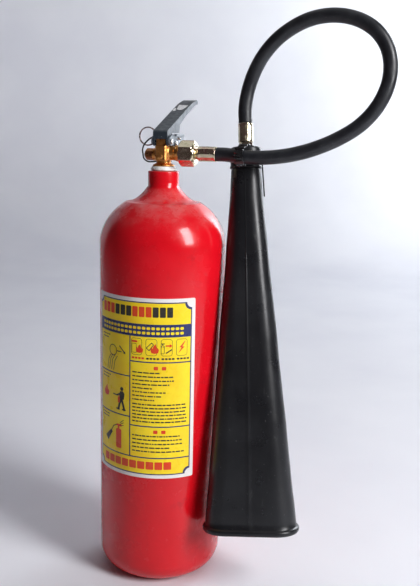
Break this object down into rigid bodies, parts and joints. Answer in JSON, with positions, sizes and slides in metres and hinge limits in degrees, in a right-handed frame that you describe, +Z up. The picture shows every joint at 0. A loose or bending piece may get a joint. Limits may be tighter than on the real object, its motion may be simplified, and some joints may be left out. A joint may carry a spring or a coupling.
{
  "type": "fire extinguisher",
  "caption": "Portable carbon dioxide fire extinguisher: red steel cylinder, squeeze-grip brass valve, safety pin with ring, looped black hose and a long flattened discharge horn.",
  "frame": {"origin": "on the floor, under the middle of the box of the object without its hose; the cylinder's axis stands at x -0.0558, y -0.0107", "axes": "+Z up; +X along the valve's outlet towards the hose loop and horn; -Y is the front, where the label is; +Y is the way the lever and carrying handle point"},
  "size_m": [0.3411, 0.1746, 0.6835],
  "materials": {
    "red_paint": "high-gloss red enamel on steel",
    "label_film": "satin printed film, yellow panels in a white border",
    "white_tape": "soft white sealing tape",
    "brass": "cast and turned brass, slightly oily",
    "plated_steel": "bright yellowish zinc plating",
    "spring_steel": "bright steel wire and rod",
    "dark_steel": "satin dark grey coating",
    "grey_steel": "satin grey coating",
    "black_rubber": "smooth satin black rubber",
    "tether_plastic": "smooth black plastic cord",
    "black_plastic": "satin black moulded plastic, lightly scuffed",
    "white_nylon": "off-white plastic or paper",
    "aluminium": "plain drawn aluminium"
  },
  "bodies": {
    "cylinder_and_valve": {"cylinder": "red_paint", "label": "label_film", "thread_tape": "white_tape", "valve_body": "brass", "dip_tube": "aluminium", "spring_retainer": "brass", "stem_spring": "spring_steel", "stem_o_ring": "black_rubber", "burst_plug": "brass", "burst_washer": "white_nylon", "burst_disc": "aluminium", "carry_handle": "grey_steel", "pivot_pin": "spring_steel", "handle_pin": "spring_steel", "swivel_nut": "plated_steel", "outlet_washer": "white_nylon", "seal_tether": "tether_plastic"},
    "lever": {"press_lever": "dark_steel", "lever_sticker": "white_nylon"},
    "stem": {"valve_stem": "spring_steel", "seat_seal": "white_nylon"},
    "pin": {"safety_pin": "spring_steel"},
    "ring": {"pull_ring": "spring_steel"},
    "hose_and_horn": {"hose_tail": "plated_steel", "valve_ferrule": "plated_steel", "hose": "black_rubber", "horn_ferrule": "plated_steel", "horn_tail": "plated_steel", "horn_collar": "black_plastic", "horn": "black_plastic", "hose_clip": "black_rubber", "discharge_nozzle": "brass"}
  },
  "joints": [
    {"name": "lever_press", "type": "hinge", "parent": "cylinder_and_valve", "child": "lever", "pos_m": [-0.0558, -0.0177, 0.534], "axis": [-1, 0, 0], "range_deg": [0, 10], "stiffness_Nm_per_rad": 0.6, "springref_deg": -17.19},
    {"name": "stem_travel", "type": "slide", "parent": "cylinder_and_valve", "child": "stem", "axis": [0, 0, -1], "range_m": [0, 0.0022], "deforming": ["stem_spring"]},
    {"name": "safety_pin_pull", "type": "slide", "parent": "cylinder_and_valve", "child": "pin", "axis": [-1, 0, 0], "range_m": [0, 0.045]},
    {"name": "ring_swing", "type": "hinge", "parent": "pin", "child": "ring", "pos_m": [-0.073, 0.0073, 0.5373], "axis": [0, 0, 1], "range_deg": [-70, 25]},
    {"name": "hose_swing", "type": "hinge", "parent": "cylinder_and_valve", "child": "hose_and_horn", "pos_m": [-0.0558, -0.0107, 0.5205], "axis": [-1, 0, 0], "range_deg": [0, 120]}
  ],
  "couplings": [
    {"joint": "stem_travel", "follows": "lever_press", "m_per_rad": 0.01213}
  ]
}
